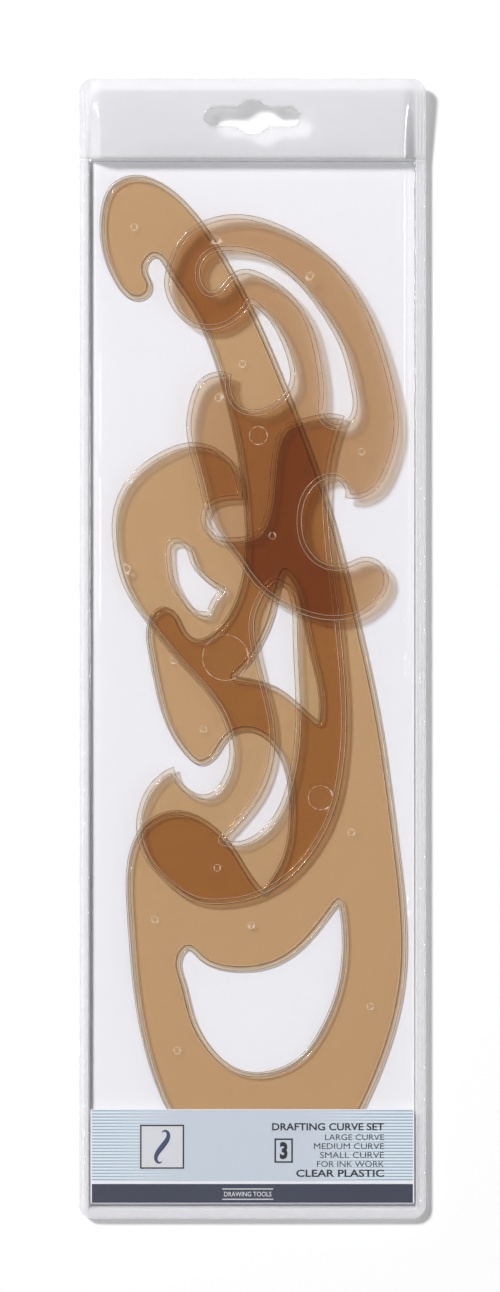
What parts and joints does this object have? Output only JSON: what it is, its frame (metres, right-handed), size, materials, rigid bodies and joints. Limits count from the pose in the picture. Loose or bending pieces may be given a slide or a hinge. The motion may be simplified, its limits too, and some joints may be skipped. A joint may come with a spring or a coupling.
{
  "type": "french curve set",
  "caption": "Flat clear wallet with a hanging slot, holding a printed card and nested tinted french curves that slide out of its top.",
  "frame": {"origin": "centre of the wallet's outline, on the surface that it lies on", "axes": "+Y along the wallet towards its header, +Z out of the front film, +X to the right of a reader of the label"},
  "size_m": [0.1164, 0.3826, 0.006],
  "materials": {
    "clear_film": "glossy, clear, faintly creased at the welds",
    "printed_card": "smooth white card, printed label on its folded foot",
    "tinted_plastic": "polished, see-through warm brown tint, paler at the thin lip"
  },
  "bodies": {
    "wallet": {"back_film": "clear_film", "header_backing": "clear_film", "front_film": "clear_film"},
    "card": {"insert_card": "printed_card"},
    "large": {"large_curve": "tinted_plastic"},
    "small": {"small_curve": "tinted_plastic"},
    "medium": {"medium_curve": "tinted_plastic"}
  },
  "joints": [
    {"name": "card_slide", "type": "slide", "parent": "wallet", "child": "card", "axis": [0, 1, 0], "range_m": [0, 0.385]},
    {"name": "large_slide", "type": "slide", "parent": "card", "child": "large", "axis": [0, 1, 0], "range_m": [0, 0.375]},
    {"name": "small_slide", "type": "slide", "parent": "card", "child": "small", "axis": [0, 1, 0], "range_m": [0, 0.285]},
    {"name": "medium_slide", "type": "slide", "parent": "card", "child": "medium", "axis": [0, 1, 0], "range_m": [0, 0.19]}
  ]
}
